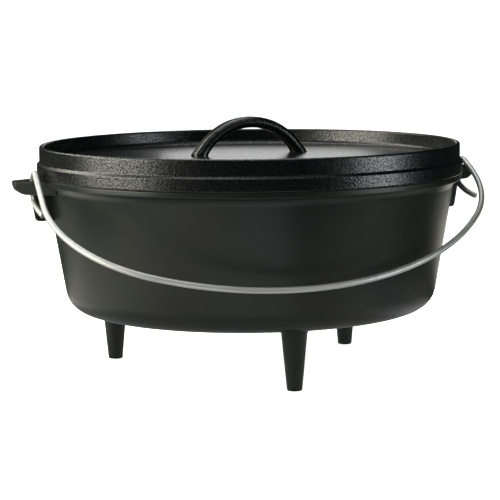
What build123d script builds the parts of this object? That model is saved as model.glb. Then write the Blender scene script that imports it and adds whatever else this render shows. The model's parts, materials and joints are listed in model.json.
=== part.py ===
from build123d import *
import math
import os

# A camp oven in millimetres: a cast pot on three legs, its flanged lid and a wire bail.
# The feet stand on z = 0 and the pot's axis is Z. The two ears lie along X.
# The bail hangs on the front, which is -Y.

# Pot: a drafted wall that is widest at the rim
leg_length = 46.0
pot_height = 104.5
base_radius = 141.0
wall_draft = 9.5
wall_thickness = 5.0
floor_thickness = 5.5
base_corner_radius = 17.7
mouth_edge_radius = 1.0

# Bead that stiffens the pot's rim, with a hollow curve below it
bead_overhang = 5.0
bead_height = 4.5
cove_height = 6.0
bead_edge_radius = 0.9

# Legs, which taper to the foot
leg_circle_radius = 111.8
leg_count = 3
leg_top_radius = 9.5
foot_radius = 5.6
foot_edge_radius = 1.2
leg_flare = 4.0
leg_flare_height = 5.0
leg_sink = 1.0

# Ears that carry the bail, seen from above as a taper with a rounded tip
ear_reach = 26.0
ear_root_half_width = 24.0
ear_tip_half_width = 6.5
ear_thickness = 10.0
ear_tip_thickness = 4.0
ear_drop = 0.5
ear_corner_radius = 2.0
ear_edge_radius = 1.2
ear_hole_diameter = 10.0
ear_hole_overhang = 13.0
ear_flat_past_hole = 4.5

# Rib that props each ear from below, in front of the right hole and behind the left one
rib_thickness = 5.0
rib_hole_gap = 0.5
rib_hook_gap = 0.4
rib_depth = 22.0
rib_flare = 3.5
rib_flare_height = 6.0
rib_corner_radius = 3.0
rib_edge_radius = 1.0

# Lid: a flanged disc with an upright rim that holds coals
lid_overhang = 0.5
lid_band_height = 9.2
lid_shoulder_height = 1.7
lid_shoulder_step = 2.0
lid_rim_height = 22.9
lid_rim_thickness = 3.4
lid_rim_draft = 6.0
lid_rim_edge_radius = 1.5
lid_band_edge_radius = 0.7
lid_plate_edge_height = 10.0
lid_plate_crown = 4.5
lid_plate_thickness = 5.0
lid_plate_fillet = 4.0
lid_lip_depth = 8.0
lid_lip_thickness = 4.5
lid_lip_clearance = 1.5

# Loop handle cast on the lid
handle_outer_radius = 52.0
handle_height = 43.0
handle_thickness = 8.5
handle_width = 13.0
handle_turn = 7.8
handle_edge_radius = 4.0
handle_foot_sink = 2.5

# Bail: one bent wire, hooked over the front half of each ear
wire_diameter = 4.5
hook_radius = 11.0
hook_lag = 0.2
bail_rest_tilt = 25.5
bail_shift = 1.5
bail_overhang = 9.0
leg_flare_angle = 2.0
corner_arc_radius = 110.0
bottom_arc_radius = 209.0
bottom_arc_offset = -17.0
left_tail_length = 21.5
left_tail_drift = -4.0
right_tail_length = 18.5
right_tail_drift = 6.5

rim_z = leg_length + pot_height
draft_rise = math.tan(math.radians(wall_draft))
wall_gap = wall_thickness / math.cos(math.radians(wall_draft))
cove_top_z = rim_z - bead_height
cove_bottom_z = cove_top_z - cove_height


def wall_radius(z):
    """Outer radius of the drafted wall at a height."""
    return base_radius + (z - leg_length) * draft_rise


def mouth_radius(z):
    """Inner radius of the drafted wall at a height."""
    return wall_radius(z) - wall_gap


bead_radius = wall_radius(rim_z) + bead_overhang
hole_x = wall_radius(rim_z) + ear_hole_overhang
ear_top_z = rim_z - ear_drop
ear_bottom_z = ear_top_z - ear_thickness
ear_mid_z = ear_top_z - ear_thickness / 2
rib_offset = ear_hole_diameter / 2 + rib_hole_gap + rib_thickness / 2
hook_setback = hook_radius - hook_lag
hook_inside_x = hole_x + bail_shift - wire_diameter / 2
rib_proud = hook_inside_x - rib_hook_gap - wall_radius(ear_bottom_z)
bail_depth = wall_radius(rim_z) + bail_overhang
over_rim = 10.0


def corner(outline, x, y, radius):
    """The same face with the corner nearest to a point rounded off."""
    nearest = outline.vertices().sort_by_distance((x, y, 0))[0]
    return fillet(nearest, radius)


def pot_body():
    """The pot's outside as a filled body, with its base corner, cove and bead."""
    cove_start = (wall_radius(cove_bottom_z), cove_bottom_z)
    wall_lean = (draft_rise, 1)
    outline = Polyline((0, rim_z), (0, leg_length), (base_radius, leg_length), cove_start)
    outline += TangentArc(cove_start, (bead_radius, cove_top_z), tangent=wall_lean)
    outline += Polyline((bead_radius, cove_top_z), (bead_radius, rim_z), (0, rim_z))
    face = make_face(outline)
    face = corner(face, base_radius, leg_length, base_corner_radius)
    face = corner(face, bead_radius, cove_top_z, bead_edge_radius)
    face = corner(face, bead_radius, rim_z, bead_edge_radius)
    return revolve(Plane.XZ * face, Axis.Z)


def pot_cavity():
    """The space inside the pot, open at the top and eased at the mouth's edge."""
    floor_z = leg_length + floor_thickness
    mouth = (mouth_radius(rim_z - mouth_edge_radius), rim_z - mouth_edge_radius)
    eased = (mouth_radius(rim_z) + mouth_edge_radius, rim_z)
    outline = Polyline((0, rim_z + over_rim), (0, floor_z), (mouth_radius(floor_z), floor_z), mouth)
    outline += TangentArc(mouth, eased, tangent=(draft_rise, 1))
    outline += Polyline(eased, (eased[0], rim_z + over_rim), (0, rim_z + over_rim))
    face = make_face(outline)
    inner_corner = base_corner_radius - wall_thickness
    face = corner(face, mouth_radius(floor_z), floor_z, inner_corner)
    return revolve(Plane.XZ * face, Axis.Z)


def leg():
    """One leg on its own axis: a rounded foot, a taper and a flare into the pot's floor."""
    top_z = leg_length + leg_sink
    flare_start = (leg_top_radius, leg_length - leg_flare_height)
    taper = (leg_top_radius - foot_radius, leg_length - leg_flare_height)
    outline = Polyline((0, top_z), (0, 0), (foot_radius, 0), flare_start)
    outline += TangentArc(flare_start, (leg_top_radius + leg_flare, top_z), tangent=taper)
    outline += Line((leg_top_radius + leg_flare, top_z), (0, top_z))
    face = corner(make_face(outline), foot_radius, 0, foot_edge_radius)
    return revolve(Plane.XZ * face, Axis.Z)


def ear():
    """The ear on +X: a tapered plate, thinner at the tip, with an upright hole for the bail."""
    root_x = wall_radius(rim_z) - wall_thickness / 2
    tip_x = wall_radius(rim_z) + ear_reach
    plan = make_face(
        Polyline(
            (root_x, -ear_root_half_width),
            (tip_x, -ear_tip_half_width),
            (tip_x, ear_tip_half_width),
            (root_x, ear_root_half_width),
            close=True,
        )
    )
    tip_corners = plan.vertices().sort_by(Axis.X)[-2:]
    plan = fillet(tip_corners, ear_corner_radius)
    flat_end = (hole_x + ear_flat_past_hole, ear_bottom_z)
    tip_low = (tip_x, ear_top_z - ear_tip_thickness)
    side = Polyline(flat_end, (root_x, ear_bottom_z), (root_x, ear_top_z), (tip_x, ear_top_z), tip_low)
    side += TangentArc(flat_end, tip_low, tangent=(1, 0))
    slab = extrude(Plane.XZ * make_face(side), amount=ear_root_half_width, both=True)
    blank = extrude(Plane.XY.offset(ear_bottom_z) * plan, amount=ear_thickness) & slab
    brims = blank.faces().sort_by(Axis.Z)[-1].edges()
    plate = fillet(brims, ear_edge_radius)
    hole = Pos(hole_x, 0, ear_mid_z) * Cylinder(ear_hole_diameter / 2, 2 * ear_thickness)
    return plate - hole


def rib():
    """The upright rib under the ear on +X, as proud of the wall at its foot as at its top.

    It stands beside the hole and just inside the bail's hook."""
    root_x = wall_radius(rim_z - bead_height - rib_depth) - wall_thickness / 2
    foot_z = ear_bottom_z - rib_depth
    bend_z = ear_bottom_z - rib_flare_height
    top_z = ear_mid_z
    edge_foot = (wall_radius(foot_z) + rib_proud, foot_z)
    edge_bend = (wall_radius(bend_z) + rib_proud, bend_z)
    edge_top = (wall_radius(top_z) + rib_proud + rib_flare, top_z)
    outline = Polyline((root_x, top_z), (root_x, foot_z), edge_foot, edge_bend)
    outline += TangentArc(edge_bend, edge_top, tangent=(draft_rise, 1))
    outline += Line(edge_top, (root_x, top_z))
    face = corner(make_face(outline), *edge_foot, rib_corner_radius)
    blank = extrude(Plane.XZ * face, amount=rib_thickness / 2, both=True)
    sides = blank.faces().filter_by(Axis.Y)
    blank = fillet(sides.edges(), rib_edge_radius)
    return Pos(0, -rib_offset, 0) * blank


def pot():
    """The pot casting: body, legs, ears and ribs in one piece, hollowed by its cavity."""
    casting = pot_body()
    for index in range(leg_count):
        bearing = -90 + index * 360 / leg_count
        casting += Rot(0, 0, bearing) * Pos(leg_circle_radius, 0, 0) * leg()
    right_side = ear() + rib()
    casting += right_side
    casting += Rot(0, 0, 180) * right_side
    return casting - pot_cavity()


band_radius = bead_radius + lid_overhang
rim_radius = band_radius - lid_shoulder_step
lid_top_z = rim_z + lid_rim_height
plate_edge_z = rim_z + lid_plate_edge_height
plate_crown_z = plate_edge_z + lid_plate_crown


def lid_disc():
    """The lid's round casting: band, shoulder, coal rim, crowned plate and locating lip."""
    shoulder_z = rim_z + lid_band_height
    rim_inner = rim_radius - lid_rim_thickness
    rim_lean = math.tan(math.radians(lid_rim_draft)) * (lid_top_z - plate_edge_z)
    plate_edge = (rim_inner - rim_lean, plate_edge_z)
    lip_z = rim_z - lid_lip_depth
    lip_top = (mouth_radius(rim_z) - lid_lip_clearance, rim_z)
    lip_foot = (mouth_radius(lip_z) - lid_lip_clearance, lip_z)
    lip_inner = lip_foot[0] - lid_lip_thickness
    under_edge = (lip_inner, plate_edge_z - lid_plate_thickness)
    outline = Polyline(
        lip_top,
        (band_radius, rim_z),
        (band_radius, shoulder_z),
        (rim_radius, shoulder_z + lid_shoulder_height),
        (rim_radius, lid_top_z),
        (rim_inner, lid_top_z),
        plate_edge,
    )
    outline += TangentArc((0, plate_crown_z), plate_edge, tangent=(1, 0))
    outline += Line((0, plate_crown_z), (0, plate_crown_z - lid_plate_thickness))
    outline += TangentArc((0, plate_crown_z - lid_plate_thickness), under_edge, tangent=(1, 0))
    outline += Polyline(under_edge, (lip_inner, lip_z), lip_foot, lip_top)
    face = make_face(outline)
    face = corner(face, band_radius, rim_z, lid_band_edge_radius)
    face = corner(face, rim_radius, lid_top_z, lid_rim_edge_radius)
    face = corner(face, rim_inner, lid_top_z, lid_rim_edge_radius)
    face = corner(face, *plate_edge, lid_plate_fillet)
    face = corner(face, *lip_foot, lid_band_edge_radius)
    return revolve(Plane.XZ * face, Axis.Z)


def lid_handle():
    """The loop handle: a flat strap bent to an arc, with softened edges and feet in the plate."""
    centre_z = rim_z + handle_height - handle_outer_radius
    inner_radius = handle_outer_radius - handle_thickness
    half_chord = math.sqrt(handle_outer_radius**2 - (plate_crown_z - centre_z) ** 2)
    sag = plate_crown_z - lid_plate_crown * (half_chord / rim_radius) ** 2
    foot_z = sag - handle_foot_sink
    arch = Circle(handle_outer_radius) - Circle(inner_radius)
    arch = Pos(0, centre_z) * arch
    above = Pos(0, foot_z + handle_outer_radius) * Rectangle(4 * handle_outer_radius, 2 * handle_outer_radius)
    strap = extrude(Plane.XZ * (arch & above), amount=handle_width / 2, both=True)
    bent_edges = strap.edges().filter_by(GeomType.CIRCLE)
    strap = fillet(bent_edges, handle_edge_radius)
    return Rot(0, 0, handle_turn) * strap


def lid():
    """The lid casting with its handle in one piece."""
    return lid_disc() + lid_handle()


def bail_side(side):
    """Hook and leg of one side in the bail's own plane, whose y runs back to the hinge line.

    Returns the tail's end, the tail's start, the hook's back, the leg's start, the corner arc's
    two ends with a point between, and the tail's first heading."""
    flare = math.radians(leg_flare_angle)
    heading = Vector(side * math.sin(flare), -math.cos(flare), 0)
    inward = Vector(-side * math.cos(flare), -math.sin(flare), 0)
    up = Vector(0, 0, 1)
    start = Vector(side * hole_x + bail_shift, 0, hook_radius)
    back = start - up * hook_radius - heading * hook_radius
    tail = start - up * 2 * hook_radius
    length, drift = (left_tail_length, left_tail_drift) if side < 0 else (right_tail_length, right_tail_drift)
    tail_end = tail + heading * length - inward * drift
    bottom_centre = Vector(bottom_arc_offset, bottom_arc_radius - bail_depth, hook_radius)
    reach = bottom_arc_radius - corner_arc_radius
    offset = start + inward * corner_arc_radius - bottom_centre
    along = offset.dot(heading)
    leg_run = math.sqrt(along**2 - offset.dot(offset) + reach**2) - along
    corner_start = start + heading * leg_run
    corner_centre = corner_start + inward * corner_arc_radius
    outward = (corner_centre - bottom_centre).normalized()
    corner_end = corner_centre + outward * corner_arc_radius
    middle = ((corner_start - corner_centre) + (corner_end - corner_centre)).normalized()
    corner_middle = corner_centre + middle * corner_arc_radius
    return tail_end, tail, back, start, corner_start, corner_middle, corner_end, heading


def bail():
    """The bail: a round wire swept from one tail, over both hooks, to the other tail."""
    tail_end, tail, back, start, corner_start, corner_middle, corner_end, heading = bail_side(-1)
    left = [
        TangentArc(tail, tail_end, tangent=heading),
        ThreePointArc(tail, back, start),
        Line(start, corner_start),
        ThreePointArc(corner_start, corner_middle, corner_end),
    ]
    left_end = corner_end
    tail_end, tail, back, start, corner_start, corner_middle, corner_end, heading = bail_side(1)
    right = [
        ThreePointArc(corner_end, corner_middle, corner_start),
        Line(corner_start, start),
        ThreePointArc(start, back, tail),
        TangentArc(tail, tail_end, tangent=heading),
    ]
    lowest = Vector(bottom_arc_offset, -bail_depth, hook_radius)
    bottom = ThreePointArc(left_end, lowest, corner_end)
    path = Wire(left + [bottom] + right)
    section = Plane(origin=path @ 0, z_dir=path % 0) * Circle(wire_diameter / 2)
    wire = sweep(section, path=path)
    tilt = math.radians(bail_rest_tilt)
    hang = Plane(
        origin=(0, -hook_setback, ear_mid_z),
        x_dir=(1, 0, 0),
        z_dir=(0, -math.sin(tilt), math.cos(tilt)),
    )
    return hang.location * wire


os.makedirs("parts", exist_ok=True)
export_step(pot(), "parts/pot.step")
export_step(lid(), "parts/lid.step")
export_step(bail(), "parts/bail.step")
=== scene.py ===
import json
import math

import bpy
import numpy as np
from bpy.props import FloatProperty, FloatVectorProperty, PointerProperty
from mathutils import Matrix, Vector


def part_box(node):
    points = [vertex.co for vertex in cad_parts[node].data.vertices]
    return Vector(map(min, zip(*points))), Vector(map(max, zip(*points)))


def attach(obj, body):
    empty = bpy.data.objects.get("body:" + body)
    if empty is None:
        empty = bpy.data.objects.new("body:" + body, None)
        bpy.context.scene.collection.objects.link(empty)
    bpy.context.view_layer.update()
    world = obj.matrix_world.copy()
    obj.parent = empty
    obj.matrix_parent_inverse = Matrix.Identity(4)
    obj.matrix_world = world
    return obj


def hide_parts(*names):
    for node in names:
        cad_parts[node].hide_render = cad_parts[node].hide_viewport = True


bl_info = {
    "name": "Camp oven",
    "version": (1, 0, 0),
    "blender": (4, 5, 0),
    "location": "3D View > Sidebar > Camp oven",
    "description": "Dresses a cast iron camp oven: pot on three legs, flanged lid and wire bail",
    "category": "Object",
}

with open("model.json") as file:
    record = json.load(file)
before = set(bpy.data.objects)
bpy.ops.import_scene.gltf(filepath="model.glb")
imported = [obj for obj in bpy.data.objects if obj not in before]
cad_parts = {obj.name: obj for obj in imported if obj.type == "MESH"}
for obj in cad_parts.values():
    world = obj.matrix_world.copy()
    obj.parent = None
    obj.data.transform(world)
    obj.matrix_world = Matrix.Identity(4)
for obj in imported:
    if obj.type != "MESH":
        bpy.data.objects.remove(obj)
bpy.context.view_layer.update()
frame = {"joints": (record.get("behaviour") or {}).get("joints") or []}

# Sizes read from the frame, in metres
pot_low, pot_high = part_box("pot")
lid_low, lid_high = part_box("lid")
RIM_Z = pot_high.z
BEAD_RADIUS = pot_high.y
EAR_TIP_X = pot_high.x
BAND_RADIUS = lid_high.x
LIP_Z = lid_low.z
HANDLE_TOP_Z = lid_high.z
BAIL_HINGE = Vector(next(joint for joint in frame["joints"] if joint["child"] == "bail")["pos_m"])

# Grid counts: round the castings, legs, wire and floor, then along each part's outline or path
ROUND_POINTS = 240
LEG_POINTS = 64
WIRE_POINTS = 32
FLOOR_POINTS = 96
CORNER_STEPS = 6
COVE_STEPS = 7
FLARE_STEPS = 8
PLATE_STEPS = 20
UNDER_STEPS = 12
HANDLE_STEPS = 61
TAIL_STEPS = 14
HOOK_STEPS = 29
BAIL_LEG_STEPS = 12
BAIL_CORNER_STEPS = 40
BAIL_FRONT_STEPS = 24
WIRE_END_STEPS = 5

# Longest run of an ear's outline, so that its hole stays round, in metres
EAR_RUN = 0.001

# Share of the lid's plate and underside that their own grid covers, short of the corner at the edge
GRID_SHARE = 0.95

# Radii and heights over which the lid's smooth plate gives way to its rim and handle, in metres
PLATE_EDGE = (0.148, 0.154)
PLATE_TOP = (0.1655, 0.168)

# The studio floor in metres: its reach, the curve up to its wall and that wall's height
FLOOR_REACH = 6.0
FLOOR_CURVE = 1.5
FLOOR_WALL = 4.0

# Lights, each as bright as the stage setting of its name: bearing from the camera's side in degrees,
# distance and height in metres, width and height of its face, and tint
SOFTBOXES = {
    "left_softbox": (-70, 1.15, 0.375, (0.85, 0.65), "warm"),
    "rear_softbox": (-113, 1.15, 0.86, (0.9, 0.6), "warm"),
    "right_softbox": (68, 1.15, 0.18, (0.42, 0.36), "cool"),
    "back_card": (179, 2.2, 0.52, (0.44, 0.56), "white"),
    "top_softbox": (-150, 0.4, 1.5, (1.2, 1.2), "white"),
    "front_softbox": (15, 1.1, 1.7, (2.2, 0.9), "white"),
}

# Patches of table that throw light up at the pot from just above the floor: the same without a height
TABLE_HEIGHT = 0.001
TABLE_PATCHES = {
    "front_table": (-22.1, 0.399, (0.54, 0.26), "white"),
    "side_table": (-86.3, 0.311, (0.22, 0.44), "warm"),
    "near_table": (64, 0.25, (0.16, 0.4), "white"),
    "under_table": (0, 0.02, (0.4, 0.44), "white"),
    "left_table": (-127.4, 0.906, (0.55, 0.9), "warm"),
    "right_table": (145, 0.64, (0.34, 0.44), "warm"),
}


def length(label, note, metres):
    """A length property in metres."""
    return FloatProperty(name=label, description=note, default=metres, unit="LENGTH", precision=4)


def angle(label, note, degrees):
    """An angle property, given here in degrees."""
    return FloatProperty(name=label, description=note, default=math.radians(degrees), subtype="ANGLE")


def share(label, note, value):
    """A property between none and all."""
    return FloatProperty(name=label, description=note, default=value, min=0.0, max=1.0, subtype="FACTOR")


def strength(label, note, value):
    """A light's brightness, as the brightness of its glowing face."""
    return FloatProperty(name=label, description=note, default=value, min=0.0)


def colour(label, note, red, green, blue):
    """A colour property in linear values."""
    return FloatVectorProperty(
        name=label, description=note, default=(red, green, blue), min=0.0, max=1.0, subtype="COLOR"
    )


class PotSizes(bpy.types.PropertyGroup):
    """Sizes of the pot casting."""

    leg_length: length("Leg length", "Height of the pot's underside above the feet", 0.046)
    base_radius: length("Base radius", "Where the wall would meet the underside", 0.141)
    wall_draft: angle("Wall draft", "Lean of the wall outwards", 9.5)
    wall: length("Wall", "Thickness of the wall", 0.005)
    floor: length("Floor", "Thickness of the floor", 0.0055)
    base_corner: length("Base corner", "Rounding between wall and underside", 0.0177)
    bead_height: length("Bead height", "Height of the bead at the rim", 0.0045)
    bead_edge: length("Bead edge", "Rounding of the bead's edges", 0.0009)
    cove_height: length("Cove height", "Height of the hollow curve below the bead", 0.006)
    mouth_edge: length("Mouth edge", "Rounding inside the rim", 0.001)
    leg_circle: length("Leg circle", "Distance of the legs from the axis", 0.1118)
    leg_top_radius: length("Leg top radius", "Radius of a leg below its flare", 0.0095)
    foot_radius: length("Foot radius", "Radius of a foot", 0.0056)
    foot_edge: length("Foot edge", "Rounding of a foot", 0.0012)
    leg_flare: length("Leg flare", "How far a leg flares out where it joins the floor", 0.004)
    leg_flare_height: length("Leg flare height", "Height of that flare", 0.005)
    leg_sink: length("Leg sink", "How far a leg reaches into the floor", 0.001)
    ear_root_half_width: length("Ear root half width", "Half width of an ear at the wall", 0.024)
    ear_tip_half_width: length("Ear tip half width", "Half width of an ear at its tip", 0.0065)
    ear_thickness: length("Ear thickness", "Thickness of an ear", 0.01)
    ear_tip_thickness: length("Ear tip thickness", "Thickness of an ear at its tip", 0.004)
    ear_drop: length("Ear drop", "How far an ear lies below the rim", 0.0005)
    ear_corner: length("Ear corner", "Rounding of an ear's tip seen from above", 0.002)
    ear_edge: length("Ear edge", "Rounding of an ear's edges", 0.0012)
    ear_root: length("Ear root", "Distance of an ear's root from the axis", 0.155987)
    hole_radius: length("Hole radius", "Radius of the hole for the bail", 0.005)
    hole_to_tip: length("Hole to tip", "Distance from the hole's middle to the ear's tip", 0.013)
    hole_edge: length("Hole edge", "Rounding of the hole's edges", 0.0007)
    flat_past_hole: length("Flat past hole", "Where the underside of an ear starts to rise", 0.0045)
    rib_thickness: length("Rib thickness", "Thickness of the rib under an ear", 0.005)
    rib_offset: length("Rib offset", "Distance of the rib from the hole's middle", 0.008)
    rib_proud: length("Rib proud", "How far the rib stands out of the wall", 0.013607)
    rib_depth: length("Rib depth", "How far the rib reaches below the ear", 0.022)
    rib_flare: length("Rib flare", "How far the rib spreads where it meets the ear", 0.0035)
    rib_flare_height: length("Rib flare height", "Height of that spread", 0.006)
    rib_corner: length("Rib corner", "Rounding of the rib's foot", 0.003)
    rib_edge: length("Rib edge", "Rounding of the rib's edges", 0.001)


class LidSizes(bpy.types.PropertyGroup):
    """Sizes of the lid casting."""

    band_height: length("Band height", "Height of the band that sits on the pot", 0.0092)
    shoulder_height: length("Shoulder height", "Height of the slope above the band", 0.0017)
    shoulder_step: length("Shoulder step", "How far the rim stands back from the band", 0.002)
    shoulder_edge: length("Shoulder edge", "Rounding of the slope's two edges", 0.0009)
    rim_height: length("Rim height", "Height of the coal rim's top above the pot", 0.0229)
    rim_thickness: length("Rim thickness", "Thickness of the coal rim at its top", 0.0034)
    rim_draft: angle("Rim draft", "Lean of the coal rim's inside", 6.0)
    rim_edge: length("Rim edge", "Rounding of the coal rim's top", 0.0015)
    band_edge: length("Band edge", "Rounding of the band's lower edge", 0.0007)
    plate_edge_height: length("Plate edge height", "Height of the plate at the rim, above the pot", 0.01)
    plate_crown: length("Plate crown", "How far the plate rises to its middle", 0.0045)
    plate_thickness: length("Plate thickness", "Thickness of the plate", 0.005)
    plate_fillet: length("Plate fillet", "Hollow rounding between plate and rim", 0.004)
    lip_thickness: length("Lip thickness", "Thickness of the ring that centres the lid", 0.0045)
    lip_clearance: length("Lip clearance", "Gap between that ring and the pot's mouth", 0.0015)
    handle_outer_radius: length("Handle outer radius", "Radius of the handle's bend", 0.052)
    handle_thickness: length("Handle thickness", "Thickness of the handle", 0.0085)
    handle_width: length("Handle width", "Width of the handle", 0.013)
    handle_edge: length("Handle edge", "Rounding of the handle's edges", 0.004)
    handle_turn: angle("Handle turn", "Turn of the handle against the ears", 7.8)
    handle_sink: length("Handle sink", "How far the handle's feet reach into the plate", 0.0025)
    handle_flare: length("Handle flare", "How far the handle spreads at the plate", 0.001)
    handle_flare_height: length("Handle flare height", "Height over which it spreads", 0.003)


class BailSizes(bpy.types.PropertyGroup):
    """Sizes of the wire bail."""

    wire_radius: length("Wire radius", "Radius of the wire", 0.00225)
    wire_edge: length("Wire edge", "Rounding of the wire's cut ends", 0.0004)
    hook_radius: length("Hook radius", "Radius of the hooks in the ears", 0.011)
    rest_tilt: angle("Rest tilt", "Slope of the hanging bail", 25.5)
    sideways: length("Sideways", "How far the bail sits to the right", 0.0015)
    depth: length("Depth", "Reach of the loop in front of the hinge line", 0.167487)
    leg_spread: angle("Leg spread", "Lean of the wire's legs outwards", 2.0)
    corner_radius: length("Corner radius", "Radius of the loop's two corners", 0.11)
    bottom_radius: length("Bottom radius", "Radius of the loop's front", 0.209)
    bottom_offset: length("Bottom offset", "Where the loop's front is lowest, to the right", -0.017)
    left_tail: length("Left tail", "Length of the left hook's tail", 0.0215)
    left_drift: length("Left drift", "How far the left tail bends outwards", -0.004)
    right_tail: length("Right tail", "Length of the right hook's tail", 0.0185)
    right_drift: length("Right drift", "How far the right tail bends outwards", 0.0065)


class Finishes(bpy.types.PropertyGroup):
    """Colours and grain of the iron and the wire."""

    pot_colour: colour("Pot colour", "Seasoned iron of the pot", 0.0022, 0.0042, 0.003)
    pot_warm: colour("Pot warm colour", "Warmer patches on the pot", 0.0038, 0.0048, 0.0024)
    pot_patches: length("Pot patches", "Size of the warmer patches", 0.06)
    pot_gloss: share("Pot gloss", "Strength of the pot's reflections", 0.3)
    pot_roughness: share("Pot roughness", "Dullness of the pot", 0.33)
    pot_grain: length("Pot grain", "Size of the sand grain on the pot", 0.0011)
    pot_relief: length("Pot relief", "Height of that grain", 0.00003)
    lid_colour: colour("Lid colour", "Oiled iron of the lid", 0.0004, 0.001, 0.001)
    lid_patches: length("Lid patches", "Size of the duller patches on the lid", 0.03)
    lid_gloss: share("Lid gloss", "Strength of the bare iron's reflections", 0.25)
    lid_oil: share("Lid oil", "Cover of the oil film", 0.45)
    lid_roughness: share("Lid roughness", "Dullness of the lid", 0.28)
    lid_grain: length("Lid grain", "Size of the sand grain on the lid", 0.0013)
    lid_relief: length("Lid relief", "Height of that grain", 0.00028)
    wire_colour: colour("Wire colour", "Bright zinc of the wire", 0.5, 0.5, 0.48)
    wire_dull: colour("Wire dull colour", "Duller streaks along the wire", 0.37, 0.38, 0.39)
    wire_metal: share("Wire metal", "How metallic the wire looks", 0.95)
    wire_roughness: share("Wire roughness", "Dullness of the wire", 0.46)
    wire_relief: length("Wire relief", "Height of the streaks", 0.00004)


class StageSettings(bpy.types.PropertyGroup):
    """Camera, floor and lights."""

    lens: FloatProperty(
        name="Lens", description="Focal length of the camera", default=134.52, unit="CAMERA"
    )
    distance: length("Distance", "Distance from the camera to the pot's axis", 1.4443)
    height: length("Height", "Height of the camera above the floor", 0.2783)
    bearing: angle("Bearing", "Turn of the camera round the pot", -16.2)
    sideways: length("Sideways", "How far the camera stands to the right", -0.00035)
    pitch: angle("Pitch", "Tilt of the camera down", 7.452)
    roll: angle("Roll", "Roll of the camera", -0.5615)
    floor_colour: colour("Floor colour", "The pale floor", 0.9, 0.9, 0.9)
    floor_glow: strength("Floor glow", "Evens out the floor's brightness", 0.8)
    room: colour("Room", "Light of the room", 0.012, 0.014, 0.014)
    warm: colour("Warm light", "Tint of the warmer lights", 1.0, 0.99, 0.86)
    cool: colour("Cool light", "Tint of the cooler lights", 0.94, 0.99, 1.0)
    white: colour("White light", "Tint of the other lights", 1.0, 1.0, 1.0)
    left_softbox: strength("Left softbox", "Softbox on the left", 8.8)
    rear_softbox: strength("Rear softbox", "High softbox behind on the left", 5.3)
    right_softbox: strength("Right softbox", "Softbox on the right", 8.2)
    back_card: strength("Back card", "White card behind", 1.06)
    top_softbox: strength("Top softbox", "Softbox above", 3.0)
    front_softbox: strength("Front softbox", "High dim card in front", 1.1)
    front_table: strength("Front table", "Bounce of the table in front of the pot", 1.1)
    side_table: strength("Side table", "Bounce of the table close by on the left", 1.25)
    near_table: strength("Near table", "Bounce of the table close by on the right", 0.5)
    under_table: strength("Under table", "Bounce of the table under the pot", 0.4)
    left_table: strength("Left table", "Bounce of the table behind on the left", 0.45)
    right_table: strength("Right table", "Bounce of the table behind on the right", 1.5)


class CampOven(bpy.types.PropertyGroup):
    """All settings of the camp oven."""

    pot: PointerProperty(type=PotSizes, name="Pot", description="Sizes of the pot")
    lid: PointerProperty(type=LidSizes, name="Lid", description="Sizes of the lid")
    bail: PointerProperty(type=BailSizes, name="Bail", description="Sizes of the bail")
    finish: PointerProperty(type=Finishes, name="Finishes", description="Colours and grain")
    stage: PointerProperty(type=StageSettings, name="Stage", description="Camera, floor and lights")


# Outlines

def tangent_arc(start, heading, end, steps):
    """Points of the arc that leaves start along heading and ends at end.

    The chord makes an angle with the heading, and the arc turns by twice that angle. A point at a
    share s of the turn lies on a chord of sin(s turn / 2) / sin(turn / 2) of the whole one."""
    start, heading, end = (np.asarray(v, float) for v in (start, heading, end))
    chord = end - start
    lean = math.atan2(heading[0] * chord[1] - heading[1] * chord[0], heading @ chord)
    parts = np.linspace(0, 1, steps + 1)
    scale = np.sin(parts * lean) / math.sin(lean)
    turn = (parts - 1) * lean
    across = np.stack([-np.full_like(turn, chord[1]), np.full_like(turn, chord[0])], 1)
    return start + scale[:, None] * (np.cos(turn)[:, None] * chord + np.sin(turn)[:, None] * across)


def rounded_path(rows, closed=False, hold=0.0006):
    """Points along a line of corners, each rounded by its own radius.

    rows holds x, y and radius. A corner becomes an arc between its two tangent points, which lie
    radius times the tangent of half the turn away from it. Long straight runs get a point close to
    each end, so that smooth shading stays flat along the run."""
    rows = np.asarray(rows, float)
    points, radii = rows[:, :2], rows[:, 2]
    count = len(points)
    runs = []
    for index in range(count):
        here = points[index]
        inner = closed or 0 < index < count - 1
        if not inner or radii[index] == 0:
            runs.append(here[None])
            continue
        before = points[index - 1] - here
        after = points[(index + 1) % count] - here
        before, after = before / np.linalg.norm(before), after / np.linalg.norm(after)
        half_turn = (math.pi - math.acos(np.clip(before @ after, -1, 1))) / 2
        reach = radii[index] * math.tan(half_turn)
        arc_start, arc_end = here + before * reach, here + after * reach
        runs.append(tangent_arc(arc_start, -before, arc_end, CORNER_STEPS))
    path = [runs[0]]
    for run in runs[1:] + ([runs[0]] if closed else []):
        gap = run[0] - path[-1][-1]
        size = np.linalg.norm(gap)
        if size > 4 * hold:
            path.append(path[-1][-1] + np.array([[hold / size], [1 - hold / size]]) * gap)
        path.append(run)
    if closed:
        path.pop()
    return np.concatenate(path)


def offset_outline(outline, distance):
    """A closed outline moved inwards by a distance, along the mean normal of the runs at each point.

    The move is divided by the cosine of half the turn, so that both runs move by the distance."""
    following = np.roll(outline, -1, 0)
    after = following - outline
    after /= np.linalg.norm(after, axis=1, keepdims=True)
    before = np.roll(after, 1, 0)
    mean = after + before
    mean /= np.linalg.norm(mean, axis=1, keepdims=True)
    cosine = np.sum(mean * after, 1, keepdims=True)
    normal = np.stack([-mean[:, 1], mean[:, 0]], 1)
    twice_area = np.sum(outline[:, 0] * following[:, 1] - outline[:, 1] * following[:, 0])
    return outline + math.copysign(distance, twice_area) * normal / cosine


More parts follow.
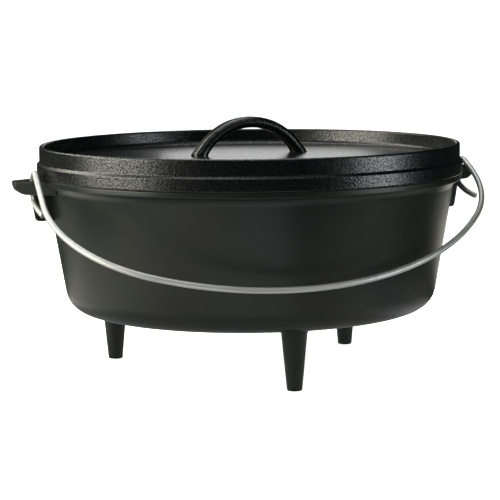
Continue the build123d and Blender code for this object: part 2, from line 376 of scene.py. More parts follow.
def divided(outline, step):
    """A closed outline whose runs are cut into equal parts, none longer than a step."""
    runs = []
    for here, there in zip(outline, np.roll(outline, -1, 0)):
        parts = math.ceil(np.linalg.norm(there - here) / step)
        runs.append(here + np.linspace(0, 1, parts, endpoint=False)[:, None] * (there - here))
    return np.concatenate(runs)


# Surfaces

def revolved(profile, points=ROUND_POINTS):
    """Rings of a profile turned round the Z axis: x = r cos a, y = r sin a, z = z."""
    around = np.arange(points) * 2 * math.pi / points
    radius, height = profile[:, 0, None], profile[:, 1, None]
    flat = np.ones_like(around)
    return np.stack([radius * np.cos(around), radius * np.sin(around), height * flat], 2)


def swept(path, normals, binormals, section):
    """Rings of a section carried along a path: point = path + u normal + v binormal.

    section is one outline of u and v, or one for each point of the path."""
    section = np.broadcast_to(section, (len(path),) + section.shape[-2:])
    across = section[:, :, :1] * normals[:, None] + section[:, :, 1:] * binormals[:, None]
    return path[:, None] + across


def turned(rings, degrees):
    """Rings turned round the Z axis."""
    cosine, sine = math.cos(math.radians(degrees)), math.sin(math.radians(degrees))
    return rings @ np.array([[cosine, sine, 0], [-sine, cosine, 0], [0, 0, 1]])


def surface_arrays(rings, looped):
    """Points, triangles and quads of one closed surface made of rings.

    Each ring closes on itself. The last ring joins the first if looped, and otherwise both ends are
    closed by a fan round a middle point. An end ring that has shrunk to a point becomes that point.
    Corners are listed as ring and column, where the column after the last one is the seam."""
    poles = [not looped and np.ptp(rings[end], axis=0).max() < 1e-9 for end in (0, -1)]
    middles = [rings[end].mean(0) for end in (0, -1)]
    body = rings[int(poles[0]):len(rings) - int(poles[1])]
    count, columns = body.shape[:2]
    ring = np.arange(count if looped else count - 1)[:, None]
    column = np.arange(columns)[None]
    at_ring = np.stack(np.broadcast_arrays(ring, ring, ring + 1, ring + 1), -1)
    at_ring = np.broadcast_to(at_ring, (len(ring), columns, 4))
    at_column = np.stack([column, column + 1, column + 1, column], -1)
    at_column = np.broadcast_to(at_column, (len(ring), columns, 4))
    quads = (at_ring % count) * columns + at_column % columns
    places = np.stack([at_ring, at_column], -1).reshape(-1, 4, 2)
    points = body.reshape(-1, 3)
    fans = np.zeros((0, 3), int)
    fan_places = np.zeros((0, 3, 2))
    if not looped:
        points = np.concatenate([points, middles])
        step = np.arange(columns)
        following = (step + 1) % columns
        last = (count - 1) * columns
        first_fan = np.stack([following, step, np.full(columns, len(points) - 2)], 1)
        last_fan = np.stack([last + step, last + following, np.full(columns, len(points) - 1)], 1)
        fans = np.concatenate([first_fan, last_fan])
        zero, end = np.zeros(columns), np.full(columns, count - 1)
        first_place = np.stack([np.stack([zero] * 3, 1), np.stack([step + 1, step, step], 1)], 2)
        last_place = np.stack([np.stack([end] * 3, 1), np.stack([step, step + 1, step], 1)], 2)
        fan_places = np.concatenate([first_place, last_place])
    return points, fans, quads.reshape(-1, 4), fan_places, places


def signed_volume(points, fans, quads):
    """Sum over the triangles of p0 . (p1 x p2) / 6, which is positive if faces point outwards."""
    triangles = np.concatenate([fans, quads[:, [0, 1, 2]], quads[:, [0, 2, 3]]])
    first, second, third = (points[triangles[:, k]] for k in range(3))
    return np.sum(first * np.cross(second, third)) / 6


def add_piece(name, rings, body, slot, looped=False, along=None):
    """A piece made of one closed surface of rings, which rides on a body.

    The UV map runs along the rings (u, in metres where along gives them) and round them (v)."""
    points, fans, quads, fan_places, places = surface_arrays(rings, looped)
    if signed_volume(points, fans, quads) < 0:
        fans, quads = fans[:, ::-1], quads[:, ::-1]
        fan_places, places = fan_places[:, ::-1], places[:, ::-1]
    corners = np.concatenate([fan_places.reshape(-1, 2), places.reshape(-1, 2)])
    marks = np.arange(len(rings) + 1) if along is None else along
    u = np.interp(corners[:, 0], np.arange(len(marks)), marks)
    v = corners[:, 1] / rings.shape[1]
    mesh = bpy.data.meshes.new(name)
    mesh.from_pydata(points.tolist(), [], fans.tolist() + quads.tolist())
    layer = mesh.uv_layers.new(name="UVMap")
    layer.data.foreach_set("uv", np.stack([u, v], 1).astype(np.float32).ravel())
    mesh.shade_smooth()
    mesh.materials.append(material_of(slot))
    mesh.validate()
    piece = bpy.data.objects.new(name, mesh)
    bpy.context.scene.collection.objects.link(piece)
    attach(piece, body)
    return piece


# Finishes

class Value:
    """One output in a material's nodes. Arithmetic on it adds Math nodes."""

    def __init__(self, finish, socket):
        self.finish = finish
        self.socket = socket

    def math(self, operation, first, second):
        return self.finish.node("ShaderNodeMath", {"operation": operation}, {0: first, 1: second})

    def __add__(self, other):
        return self.math("ADD", self, other)

    __radd__ = __add__

    def __sub__(self, other):
        return self.math("SUBTRACT", self, other)

    def __rsub__(self, other):
        return self.math("SUBTRACT", other, self)

    def __mul__(self, other):
        return self.math("MULTIPLY", self, other)

    __rmul__ = __mul__


class Finish:
    """A material whose nodes are written as expressions."""

    def __init__(self, name):
        self.material = bpy.data.materials.new(name)
        self.material.use_nodes = True
        self.tree = self.material.node_tree
        self.shader = self.tree.nodes["Principled BSDF"]

    def node(self, kind, settings, sockets, output=0):
        """Adds a node, sets its settings, then gives its sockets values or links."""
        node = self.tree.nodes.new(kind)
        for key, value in settings.items():
            setattr(node, key, value)
        self.fill(node, sockets)
        return Value(self, node.outputs[output])

    def fill(self, node, sockets):
        """Gives a node's sockets values or links."""
        for key, value in sockets.items():
            if isinstance(value, Value):
                self.tree.links.new(value.socket, node.inputs[key])
            else:
                node.inputs[key].default_value = value

    def place(self, output):
        """Texture coordinates: Object, in metres from the pot's axis and floor, or UV."""
        return self.node("ShaderNodeTexCoord", {}, {}, output)

    def noise(self, place, size, detail=2.0):
        """Soft noise from 0 to 1 whose blotches have about this size."""
        sockets = {"Vector": place, "Scale": 1 / size, "Detail": detail}
        return self.node("ShaderNodeTexNoise", {}, sockets)

    def step(self, value, low, high):
        """0 below low, 1 above high and a smooth rise between."""
        sockets = {"Value": value, "From Min": low, "From Max": high}
        return self.node("ShaderNodeMapRange", {"interpolation_type": "SMOOTHSTEP"}, sockets)

    def blend(self, factor, first, second):
        """A colour between two."""
        return self.node("ShaderNodeMix", {"data_type": "RGBA"}, {0: factor, 6: first, 7: second}, 2)

    def bump(self, height, relief):
        """A normal bent by a height from 0 to 1 that stands for this relief in metres."""
        return self.node("ShaderNodeBump", {}, {"Height": height, "Distance": relief, "Strength": 1.0})

    def parts_of(self, place):
        """Distance from the pot's axis and height, in metres."""
        flat = self.node("ShaderNodeVectorMath", {"operation": "MULTIPLY"}, {0: place, 1: (1, 1, 0)})
        radius = self.node("ShaderNodeVectorMath", {"operation": "LENGTH"}, {0: flat}, "Value")
        height = self.node("ShaderNodeSeparateXYZ", {}, {"Vector": place}, "Z")
        return radius, height


def opaque(rgb):
    """A colour with full alpha."""
    return (*rgb, 1.0)


def pot_iron(finish, settings):
    """Shader sockets of satin seasoned iron: olive black with warmer patches and a fine sand grain."""
    place = finish.place("Object")
    patches = finish.step(finish.noise(place, settings.pot_patches, 3), 0.35, 0.65)
    grain = finish.noise(place, settings.pot_grain, 2)
    fine = finish.noise(place, settings.pot_grain / 3, 1)
    tone = finish.blend(patches, opaque(settings.pot_colour), opaque(settings.pot_warm))
    return {
        "Base Color": tone,
        "Roughness": settings.pot_roughness + 0.06 * patches + 0.05 * (fine - 0.5),
        "Specular IOR Level": settings.pot_gloss,
        "Normal": finish.bump(0.7 * grain + 0.3 * fine, settings.pot_relief),
    }


def lid_iron(finish, settings):
    """Shader sockets of oiled iron: near black, with a pebbly grain on which the oil glints in specks."""
    place = finish.place("Object")
    cells = {"Vector": place, "Scale": 1 / settings.lid_grain, "Smoothness": 0.7}
    pebbles = finish.node("ShaderNodeTexVoronoi", {"feature": "SMOOTH_F1"}, cells, "Distance")
    grain = finish.noise(place, settings.lid_grain * 1.3, 2)
    patches = finish.noise(place, settings.lid_patches, 3)
    radius, level = finish.parts_of(place)
    plate = (1 - finish.step(radius, *PLATE_EDGE)) * (1 - finish.step(level, *PLATE_TOP))
    rough_part = 1 - 0.75 * plate
    height = (0.8 * (1 - pebbles) + 0.4 * grain) * rough_part
    specks = finish.step(finish.noise(place, settings.lid_grain * 0.8, 1), 0.36, 0.64)
    return {
        "Base Color": opaque(settings.lid_colour),
        "Roughness": settings.lid_roughness - 0.08 * plate + 0.1 * (patches - 0.5),
        "Specular IOR Level": settings.lid_gloss,
        "Coat Weight": settings.lid_oil + 2 * settings.lid_oil * rough_part * (specks - 0.5),
        "Coat Roughness": settings.lid_roughness,
        "Normal": finish.bump(height, settings.lid_relief),
    }


def bail_wire(finish, settings):
    """Shader sockets of bright zinc wire with fine streaks drawn along its length."""
    place = finish.place("UV")
    drawn = finish.node("ShaderNodeMapping", {}, {"Vector": place, "Scale": (25.0, 14.0, 1.0)})
    streaks = finish.noise(drawn, 1.0, 3)
    tone = finish.blend(
        finish.step(streaks, 0.45, 0.7), opaque(settings.wire_colour), opaque(settings.wire_dull)
    )
    return {
        "Base Color": tone,
        "Metallic": settings.wire_metal,
        "Roughness": settings.wire_roughness + 0.12 * streaks,
        "Normal": finish.bump(streaks, settings.wire_relief),
    }


FINISH_OF_SLOT = {"pot_iron": pot_iron, "lid_iron": lid_iron, "bail_wire": bail_wire}


def material_of(slot):
    """The material of a slot, made when it is first asked for."""
    name = slot + "_finish"
    if name not in bpy.data.materials:
        finish = Finish(name)
        sockets = FINISH_OF_SLOT[slot](finish, bpy.context.scene.camp_oven.finish)
        finish.fill(finish.shader, sockets)
    return bpy.data.materials[name]


# Pot

def wall_radius(sizes, height):
    """Outer radius of the drafted wall at a height: base radius plus the rise times the draft."""
    return sizes.base_radius + (height - sizes.leg_length) * math.tan(sizes.wall_draft)


def mouth_radius(sizes, height):
    """Inner radius of the drafted wall at a height."""
    return wall_radius(sizes, height) - sizes.wall / math.cos(sizes.wall_draft)


def bowl_profile(sizes):
    """Radius and height round the bowl's section, from the underside's middle to the floor's."""
    cove_top = RIM_Z - sizes.bead_height
    cove_low = cove_top - sizes.cove_height
    cove_start = (wall_radius(sizes, cove_low), cove_low)
    lean = (math.sin(sizes.wall_draft), math.cos(sizes.wall_draft))
    cove = tangent_arc(cove_start, lean, (BEAD_RADIUS, cove_top), COVE_STEPS)
    floor_z = sizes.leg_length + sizes.floor
    rows = [
        (0, sizes.leg_length, 0),
        (sizes.base_radius, sizes.leg_length, sizes.base_corner),
        *((radius, height, 0) for radius, height in cove[:-1]),
        (BEAD_RADIUS, cove_top, sizes.bead_edge),
        (BEAD_RADIUS, RIM_Z, sizes.bead_edge),
        (mouth_radius(sizes, RIM_Z), RIM_Z, sizes.mouth_edge),
        (mouth_radius(sizes, floor_z), floor_z, sizes.base_corner - sizes.wall),
        (0, floor_z, 0),
    ]
    return rounded_path(rows)


class PotBowl(bpy.types.Operator):
    """Builds the bowl: its drafted wall, rounded base, cove and bead, turned round the axis."""

    bl_idname = "camp_oven.pot_bowl"
    bl_label = "Pot bowl"

    def execute(self, context):
        oven = context.scene.camp_oven
        rings = revolved(bowl_profile(oven.pot))
        bowl = add_piece("pot_bowl", rings, "pot", "pot_iron")
        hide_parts("pot")
        return {"FINISHED"}


def leg_profile(sizes):
    """Radius and height of a leg: a rounded foot, a taper and a flare into the floor."""
    flare_start = (sizes.leg_top_radius, sizes.leg_length - sizes.leg_flare_height)
    top_z = sizes.leg_length + sizes.leg_sink
    taper = np.array(flare_start) - (sizes.foot_radius, 0)
    taper /= np.linalg.norm(taper)
    flare_end = (sizes.leg_top_radius + sizes.leg_flare, top_z)
    flare = tangent_arc(flare_start, taper, flare_end, FLARE_STEPS)
    foot = rounded_path([(0, 0, 0), (sizes.foot_radius, 0, sizes.foot_edge), (*flare_start, 0)])
    return np.concatenate([foot, flare[1:], [(0, top_z)]])


class PotLegs(bpy.types.Operator):
    """Builds the three legs: one turned profile, repeated round the pot's axis."""

    bl_idname = "camp_oven.pot_legs"
    bl_label = "Pot legs"

    def execute(self, context):
        oven = context.scene.camp_oven
        standing = revolved(leg_profile(oven.pot), LEG_POINTS) + (oven.pot.leg_circle, 0, 0)
        for name, bearing in (("front_leg", -90), ("right_leg", 30), ("left_leg", 150)):
            add_piece(name, turned(standing, bearing), "pot", "pot_iron")
        return {"FINISHED"}


def ear_rings(sizes):
    """Rings of the right ear, one outline round the hole after another.

    A ray from the hole's middle meets the tapered plan at a reach R. Rings lie on these rays: over
    the hole's rounded edge, out along the flat top, round the edge, down the side and back along
    the underside, which is flat to just past the hole and then rises on an arc to the thin tip."""
    top_z = RIM_Z - sizes.ear_drop
    low_z = top_z - sizes.ear_thickness
    hole_x = EAR_TIP_X - sizes.hole_to_tip
    plan = rounded_path([
        (sizes.ear_root, -sizes.ear_root_half_width, 0),
        (EAR_TIP_X, -sizes.ear_tip_half_width, sizes.ear_corner),
        (EAR_TIP_X, sizes.ear_tip_half_width, sizes.ear_corner),
        (sizes.ear_root, sizes.ear_root_half_width, 0),
    ], closed=True)
    plan = divided(plan, EAR_RUN)
    rays = plan - (hole_x, 0)
    reach = np.linalg.norm(rays, axis=1)
    rays /= reach[:, None]
    rise_start = hole_x + sizes.flat_past_hole
    run = EAR_TIP_X - rise_start
    rise = sizes.ear_thickness - sizes.ear_tip_thickness
    curve = (run**2 + rise**2) / (2 * rise)

    def underside(out):
        past = np.clip(hole_x + out * rays[:, 0] - rise_start, 0, run)
        return low_z + curve - np.sqrt(curve**2 - past**2)

    def ring(out, height):
        flat = (hole_x, 0) + out[:, None] * rays
        return np.column_stack([flat, np.broadcast_to(height, len(flat))])

    hole = np.full_like(reach, sizes.hole_radius)
    in_edge, out_edge = sizes.hole_edge, sizes.ear_edge
    start, end = hole + in_edge, reach - out_edge
    side_height = underside(reach) - top_z + 2 * out_edge
    quarter = np.linspace(0, math.pi / 2, CORNER_STEPS)
    turns = [(math.sin(t), math.cos(t)) for t in quarter]
    hole_top = [ring(hole + in_edge * (1 - c), top_z - in_edge * (1 - s)) for s, c in turns]
    top = [ring(start + part * (end - start), top_z) for part in (0.1, 0.5, 0.9)]
    top_edge = [ring(end + out_edge * s, top_z - out_edge * (1 - c)) for s, c in turns]
    side = [ring(reach, top_z - out_edge + part * side_height) for part in (0.1, 0.9)]
    low_edge = [
        ring(end + out_edge * c, underside(end + out_edge * c) + out_edge * (1 - s)) for s, c in turns
    ]
    inwards = [end + part * (start - end) for part in (0.1, 0.3, 0.5, 0.7, 0.9)]
    low = [ring(out, underside(out)) for out in inwards]
    hole_low = [ring(start - in_edge * s, underside(start) + in_edge * (1 - c)) for s, c in turns]
    bore = [ring(hole, low_z + part * sizes.ear_thickness) for part in (0.15, 0.5, 0.85)]
    return np.array(hole_top + top + top_edge + side + low_edge + low + hole_low + bore)


def rib_rings(sizes):
    """Rings of the right rib: its side outline drawn in by the edge's rounding at both faces.

    The outer edge runs parallel to the wall and spreads on an arc where it meets the ear. One more
    ring lies well inside each face, so that smooth shading stays flat on it."""
    ear_top = RIM_Z - sizes.ear_drop
    low_z = ear_top - sizes.ear_thickness
    top_z = ear_top - sizes.ear_thickness / 2
    foot_z = low_z - sizes.rib_depth
    flare_z = low_z - sizes.rib_flare_height
    root_x = wall_radius(sizes, RIM_Z - sizes.bead_height - sizes.rib_depth) - sizes.wall / 2
    flare_start = (wall_radius(sizes, flare_z) + sizes.rib_proud, flare_z)
    spread = (wall_radius(sizes, top_z) + sizes.rib_proud + sizes.rib_flare, top_z)
    lean = (math.sin(sizes.wall_draft), math.cos(sizes.wall_draft))
    flare = tangent_arc(flare_start, lean, spread, FLARE_STEPS)
    rows = [
        (root_x, top_z, 0),
        (root_x, foot_z, 0),
        (wall_radius(sizes, foot_z) + sizes.rib_proud, foot_z, sizes.rib_corner),
        *((x, z, 0) for x, z in flare),
    ]
    outline = rounded_path(rows, closed=True)
    half, edge = sizes.rib_thickness / 2, sizes.rib_edge
    quarter = np.linspace(0, math.pi / 2, CORNER_STEPS)
    layers = [(edge * (1 - math.sin(t)), half - edge * (1 - math.cos(t))) for t in quarter]
    layers = [(1.6 * edge, half)] + layers
    layers += [(inset, -across) for inset, across in layers[::-1]]
    rings = []
    for inset, across in layers:
        drawn_in = offset_outline(outline, inset)
        level = np.full(len(outline), across - sizes.rib_offset)
        rings.append(np.column_stack([drawn_in[:, 0], level, drawn_in[:, 1]]))
    return np.array(rings)


class PotEars(bpy.types.Operator):
    """Builds both ears with their bail holes, and the rib that props each from below."""

    bl_idname = "camp_oven.pot_ears"
    bl_label = "Pot ears"

    def execute(self, context):
        oven = context.scene.camp_oven
        for side, bearing in (("right", 0), ("left", 180)):
            ear, rib = turned(ear_rings(oven.pot), bearing), turned(rib_rings(oven.pot), bearing)
            add_piece(side + "_ear", ear, "pot", "pot_iron", looped=True)
            add_piece(side + "_rib", rib, "pot", "pot_iron")
        return {"FINISHED"}


# Lid

def plate_height(sizes, radius):
    """Height of the plate's top: its crown less the crown's rise times the square of r over its edge."""
    edge_radius = plate_edge_radius(sizes)
    crown_z = RIM_Z + sizes.plate_edge_height + sizes.plate_crown
    return crown_z - sizes.plate_crown * (radius / edge_radius) ** 2


def plate_edge_radius(sizes):
    """Radius where the plate meets the leaning inside of the coal rim."""
    lean = math.tan(sizes.rim_draft) * (sizes.rim_height - sizes.plate_edge_height)
    return BAND_RADIUS - sizes.shoulder_step - sizes.rim_thickness - lean


def lid_profile(lid, pot):
    """Radius and height round the lid's section, from the plate's top to its underside."""
    rim_radius = BAND_RADIUS - lid.shoulder_step
    rim_inner = rim_radius - lid.rim_thickness
    top_z = RIM_Z + lid.rim_height
    shoulder_z = RIM_Z + lid.band_height
    edge_radius = plate_edge_radius(lid)
    lip_radius = mouth_radius(pot, LIP_Z) - lid.lip_clearance
    lip_inner = lip_radius - lid.lip_thickness
    plate = np.linspace(0, GRID_SHARE * edge_radius, PLATE_STEPS)
    under = np.linspace(GRID_SHARE * lip_inner, 0, UNDER_STEPS)
    rows = [
        *((radius, plate_height(lid, radius), 0) for radius in plate),
        (edge_radius, plate_height(lid, edge_radius), lid.plate_fillet),
        (rim_inner, top_z, lid.rim_edge),
        (rim_radius, top_z, lid.rim_edge),
        (rim_radius, shoulder_z + lid.shoulder_height, lid.shoulder_edge),
        (BAND_RADIUS, shoulder_z, lid.shoulder_edge),
        (BAND_RADIUS, RIM_Z, lid.band_edge),
        (mouth_radius(pot, RIM_Z) - lid.lip_clearance, RIM_Z, lid.band_edge),
        (lip_radius, LIP_Z, lid.band_edge),
        (lip_inner, LIP_Z, lid.band_edge),
        (lip_inner, plate_height(lid, edge_radius) - lid.plate_thickness, 0),
        *((radius, plate_height(lid, radius) - lid.plate_thickness, 0) for radius in under),
    ]
    return rounded_path(rows)


class LidDisc(bpy.types.Operator):
    """Builds the lid's round casting: plate, coal rim, shoulder, band and lip, turned round the axis."""

    bl_idname = "camp_oven.lid_disc"
    bl_label = "Lid disc"

    def execute(self, context):
        oven = context.scene.camp_oven
        rings = revolved(lid_profile(oven.lid, oven.pot))
        disc = add_piece("lid_disc", rings, "lid", "lid_iron")
        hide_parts("lid")
        return {"FINISHED"}


def handle_rings(sizes):
    """Rings of the loop handle: a rounded strap section carried over an arc.

    The arc's points are x = R sin a and z = centre + R cos a. The section spreads near the plate by
    the flare times an exponential of the height over it, and the last rings are pushed along the
    strap to one level inside the plate."""
    centre_z = HANDLE_TOP_Z - sizes.handle_outer_radius
    middle = sizes.handle_outer_radius - sizes.handle_thickness / 2
    foot_radius = math.sqrt(middle**2 - (plate_height(sizes, 0) - centre_z) ** 2)
    foot_z = plate_height(sizes, foot_radius) - sizes.handle_sink
    reach = math.acos((foot_z - centre_z) / middle)
    along = np.linspace(-reach, reach, HANDLE_STEPS)
    sine, cosine, level = np.sin(along), np.cos(along), np.zeros_like(along)
    path = np.column_stack([middle * sine, level, centre_z + middle * cosine])
    outward = np.column_stack([sine, level, cosine])
    sideways = np.tile([0.0, 1.0, 0.0], (len(along), 1))
    thick, wide, edge = sizes.handle_thickness / 2, sizes.handle_width / 2, sizes.handle_edge
    strap = rounded_path([
        (thick, wide, edge),
        (-thick, wide, edge),
        (-thick, -wide, edge),
        (thick, -wide, edge),
    ], closed=True)
    over_plate = path[:, 2] - plate_height(sizes, foot_radius)
    spread = sizes.handle_flare * np.exp(-np.clip(over_plate, 0, None) / sizes.handle_flare_height)
    size = np.array([thick, wide])
    sections = strap[None] * (1 + spread[:, None, None] / size)
    rings = swept(path, outward, sideways, sections)
    for end in (0, -1):
        heading = np.array([cosine[end], 0, -sine[end]])
        rings[end] += ((foot_z - rings[end][:, 2]) / heading[2])[:, None] * heading
    return turned(rings, math.degrees(sizes.handle_turn))


class LidHandle(bpy.types.Operator):
    """Builds the loop handle: a strap with softened edges, bent to an arc and set in the plate."""

    bl_idname = "camp_oven.lid_handle"
    bl_label = "Lid handle"

    def execute(self, context):
        oven = context.scene.camp_oven
        add_piece("lid_handle", handle_rings(oven.lid), "lid", "lid_iron")
        return {"FINISHED"}


# Bail

UP = np.array([0.0, 0.0, 1.0])


def bend(start, heading, centre_way, radius, turn, steps):
    """Points and headings of an arc: start + R (sin t heading + (1 - cos t) way to the centre)."""
    t = np.linspace(0, turn, steps)[:, None]
    points = start + radius * (np.sin(t) * heading + (1 - np.cos(t)) * centre_way)
    return points, np.cos(t) * heading + np.sin(t) * centre_way


def bail_half(sizes, side, hole_x):
    """Points, headings and inward normals of one side, from its tail's end to the loop's lowest point.

    In the bail's own plane the leg starts at the hook and runs forward, leaning out a little. It
    turns into the corner arc, which touches the front arc inside. The hook is a half circle that
    goes back and down from the leg's start, and the tail runs forward again below it."""
    spread = sizes.leg_spread
    heading = np.array([side * math.sin(spread), -math.cos(spread), 0])
    inward = np.array([-side * math.cos(spread), -math.sin(spread), 0])
    start = np.array([side * hole_x + sizes.sideways, 0, sizes.hook_radius])
    tail_start = start - 2 * sizes.hook_radius * UP
    if side < 0:
        run, drift = sizes.left_tail, sizes.left_drift
    else:
        run, drift = sizes.right_tail, sizes.right_drift
    tail_radius = (run**2 + drift**2) / (2 * abs(drift))
    tail_turn = 2 * math.atan2(abs(drift), run)
    tail_way = -math.copysign(1, drift) * inward
    tail, tail_headings = bend(tail_start, heading, tail_way, tail_radius, tail_turn, TAIL_STEPS)
    tail_normals = np.cross(tail_headings, UP) * -side
    hook, hook_headings = bend(tail_start, -heading, UP, sizes.hook_radius, math.pi, HOOK_STEPS)
    front_centre = np.array([sizes.bottom_offset, sizes.bottom_radius - sizes.depth, sizes.hook_radius])
    offset = start + sizes.corner_radius * inward - front_centre
    along = offset @ heading
    gap = sizes.bottom_radius - sizes.corner_radius
    leg_run = math.sqrt(along**2 - offset @ offset + gap**2) - along
    leg = start + np.linspace(0, leg_run, BAIL_LEG_STEPS)[:, None] * heading
    corner_start = leg[-1]
    corner_centre = corner_start + sizes.corner_radius * inward
    way_out = (corner_centre - front_centre) / gap
    corner_turn = math.acos(np.clip(-inward @ way_out, -1, 1))
    corner, corner_headings = bend(
        corner_start, heading, inward, sizes.corner_radius, corner_turn, BAIL_CORNER_STEPS
    )
    front_turn = math.acos(np.clip(-way_out[1], -1, 1))
    front, front_headings = bend(
        corner[-1], corner_headings[-1], -way_out, sizes.bottom_radius, front_turn, BAIL_FRONT_STEPS
    )
    points = np.concatenate([tail[::-1], hook[1:], leg[1:], corner[1:], front[1:]])
    headings = np.concatenate([
        -tail_headings[::-1],
        hook_headings[1:],
        np.tile(heading, (len(leg) - 1, 1)),
        corner_headings[1:],
        front_headings[1:],
    ])
    loop_headings = headings[len(tail) + len(hook) - 1:]
    normals = np.concatenate([
        tail_normals[::-1],
        np.tile(inward, (len(hook) - 1, 1)),
        np.cross(UP, loop_headings) * -side,
    ])
    return points, headings, normals


def bail_rings(sizes):
    """Rings of the wire and their distance along it, with both cut ends eased.

    The two halves meet at the loop's lowest point. A ring is a circle across the wire, and the
    bail's plane is then tilted to where it hangs from the hinge line."""
    hole_x = EAR_TIP_X - bpy.context.scene.camp_oven.pot.hole_to_tip
    left, left_headings, left_normals = bail_half(sizes, -1, hole_x)
    right, right_headings, right_normals = bail_half(sizes, 1, hole_x)
    path = np.concatenate([left, right[-2::-1]])
    headings = np.concatenate([left_headings, -right_headings[-2::-1]])
    normals = np.concatenate([left_normals, right_normals[-2::-1]])
    along = np.concatenate([[0], np.cumsum(np.linalg.norm(np.diff(path, axis=0), axis=1))])
    radius = np.full(len(path), sizes.wire_radius)
    quarter = np.linspace(math.pi / 2, 0, WIRE_END_STEPS)
    eased = sizes.wire_radius - sizes.wire_edge * (1 - np.cos(quarter))
    inset = sizes.wire_edge * np.sin(quarter)
    ends = []
    for end, way in ((0, 1), (-1, -1)):
        points = path[end] + way * (sizes.wire_edge - inset)[:, None] * headings[end]
        ends.append((points[::way], eased[::way]))
    path = np.concatenate([ends[0][0], path[2:-2], ends[1][0]])
    radius = np.concatenate([ends[0][1], radius[2:-2], ends[1][1]])
    extra = len(quarter) - 2
    pick = np.concatenate([[0] * extra, np.arange(len(along)), [len(along) - 1] * extra])
    headings, normals, along = headings[pick], normals[pick], along[pick]
    across = np.cross(headings, normals)
    turn = np.arange(WIRE_POINTS) * 2 * math.pi / WIRE_POINTS
    circle = np.column_stack([np.cos(turn), np.sin(turn)])
    rings = swept(path, normals, across, radius[:, None, None] * circle)
    tilt = np.array(Matrix.Rotation(sizes.rest_tilt, 3, "X"))
    return rings @ tilt.T + np.array(BAIL_HINGE), along


class Bail(bpy.types.Operator):
    """Builds the bail: one round wire from tail to tail, over both hooks and round the pot's front."""

    bl_idname = "camp_oven.bail"
    bl_label = "Bail"

    def execute(self, context):
        oven = context.scene.camp_oven
        rings, along = bail_rings(oven.bail)
        wire = add_piece("bail_wire", rings, "bail", "bail_wire", along=along)
        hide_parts("bail")
        return {"FINISHED"}


# Stage

def floor_rings():
    """Rings of a round studio floor that curves up into a wall: a rounded corner, turned."""
    rows = [(0, 0, 0), (FLOOR_REACH, 0, FLOOR_CURVE), (FLOOR_REACH, FLOOR_WALL, 0)]
    return revolved(rounded_path(rows, hold=0.05), FLOOR_POINTS)


def floor_material(stage):
    """The plain pale floor."""
    finish = Finish("pale_floor")
    place = finish.place("Object")
    mottle = finish.noise(place, 0.4, 2)
    pale = opaque(stage.floor_colour)
    slightly_darker = opaque([0.985 * channel for channel in stage.floor_colour])
    finish.fill(finish.shader, {
        "Base Color": finish.blend(mottle, pale, slightly_darker),
        "Roughness": 0.9,
        "Specular IOR Level": 0.1,
        "Emission Color": (1.0, 1.0, 1.0, 1.0),
        "Emission Strength": stage.floor_glow,
    })
    return finish.material


def softbox(stage, name, bearing, distance, height, size, tint):
    """A glowing rectangle on a bearing from the camera's side, which faces the lid.

    Its power is its brightness times pi times its area."""
    turn = stage.bearing + math.radians(bearing)
    spot = Vector((math.sin(turn) * distance, -math.cos(turn) * distance, height))
    light = bpy.data.lights.new(name, "AREA")
    light.shape = "RECTANGLE"
    light.size, light.size_y = size
    light.energy = getattr(stage, name) * math.pi * size[0] * size[1]
    light.color = getattr(stage, tint)
    lamp = bpy.data.objects.new(name, light)
    lamp.location = spot
    lamp.rotation_euler = (Vector((0, 0, RIM_Z)) - spot).to_track_quat("-Z", "Y").to_euler()
    lamp.visible_camera = False
    bpy.context.scene.collection.objects.link(lamp)
    return lamp


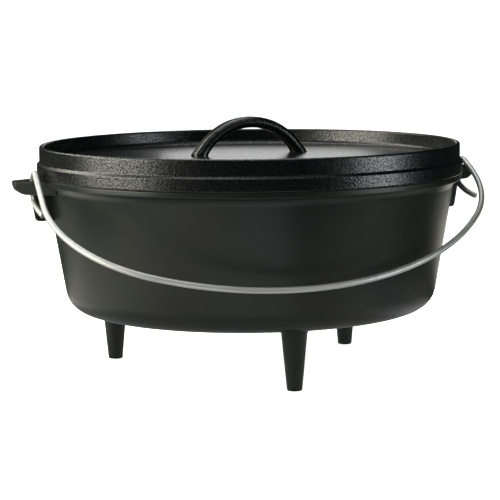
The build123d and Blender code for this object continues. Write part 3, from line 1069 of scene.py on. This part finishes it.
class Stage(bpy.types.Operator):
    """Sets the pale floor, the soft studio lights and the camera."""

    bl_idname = "camp_oven.stage"
    bl_label = "Stage"

    def execute(self, context):
        stage = context.scene.camp_oven.stage
        points, fans, quads, _, _ = surface_arrays(floor_rings()[:-1], False)
        inner_fan = fans[:len(fans) // 2]
        mesh = bpy.data.meshes.new("studio_floor")
        mesh.from_pydata(points.tolist(), [], inner_fan.tolist() + quads.tolist())
        mesh.shade_smooth()
        mesh.materials.append(floor_material(stage))
        floor = bpy.data.objects.new("studio_floor", mesh)
        floor.visible_glossy = False
        floor.visible_shadow = False
        context.scene.collection.objects.link(floor)

        for name, placing in SOFTBOXES.items():
            softbox(stage, name, *placing)
        for name, (bearing, distance, size, tint) in TABLE_PATCHES.items():
            patch = softbox(stage, name, bearing, distance, TABLE_HEIGHT, size, tint)
            patch.rotation_euler = (math.pi, 0, stage.bearing)

        world = bpy.data.worlds.new("room")
        world.use_nodes = True
        world.node_tree.nodes["Background"].inputs["Color"].default_value = opaque(stage.room)
        context.scene.world = world
        context.scene.view_settings.view_transform = "Standard"

        camera = bpy.data.cameras.new("camera")
        camera.lens = stage.lens
        camera.clip_start = 0.05
        viewer = bpy.data.objects.new("camera", camera)
        turn = Matrix.Rotation(stage.bearing, 4, "Z")
        tilt = Matrix.Rotation(math.pi / 2 - stage.pitch, 4, "X")
        roll = Matrix.Rotation(stage.roll, 4, "Z")
        place = turn @ Matrix.Translation((stage.sideways, -stage.distance, stage.height))
        viewer.matrix_world = place @ tilt @ roll
        context.scene.collection.objects.link(viewer)
        context.scene.camera = viewer
        return {"FINISHED"}


class OvenPanel(bpy.types.Panel):
    """Lists the pieces of the camp oven and their settings."""

    bl_idname = "VIEW3D_PT_camp_oven"
    bl_label = "Camp oven"
    bl_space_type = "VIEW_3D"
    bl_region_type = "UI"
    bl_category = "Camp oven"

    def draw(self, context):
        for operator in OPERATORS:
            self.layout.operator(operator.bl_idname)
        oven = context.scene.camp_oven
        for group in (oven.pot, oven.lid, oven.bail, oven.finish, oven.stage):
            box = self.layout.box()
            for key in group.__annotations__:
                box.prop(group, key)


SETTINGS = (PotSizes, LidSizes, BailSizes, Finishes, StageSettings, CampOven)
OPERATORS = (PotBowl, PotLegs, PotEars, LidDisc, LidHandle, Bail, Stage)


def register():
    for kind in SETTINGS + OPERATORS + (OvenPanel,):
        bpy.utils.register_class(kind)
    bpy.types.Scene.camp_oven = PointerProperty(type=CampOven)


def unregister():
    del bpy.types.Scene.camp_oven
    for kind in reversed(SETTINGS + OPERATORS + (OvenPanel,)):
        bpy.utils.unregister_class(kind)


def main():
    register()
    for operator in OPERATORS:
        name = operator.bl_idname.split(".")[1]
        getattr(bpy.ops.camp_oven, name)()


if __name__ == "__main__":
    main()
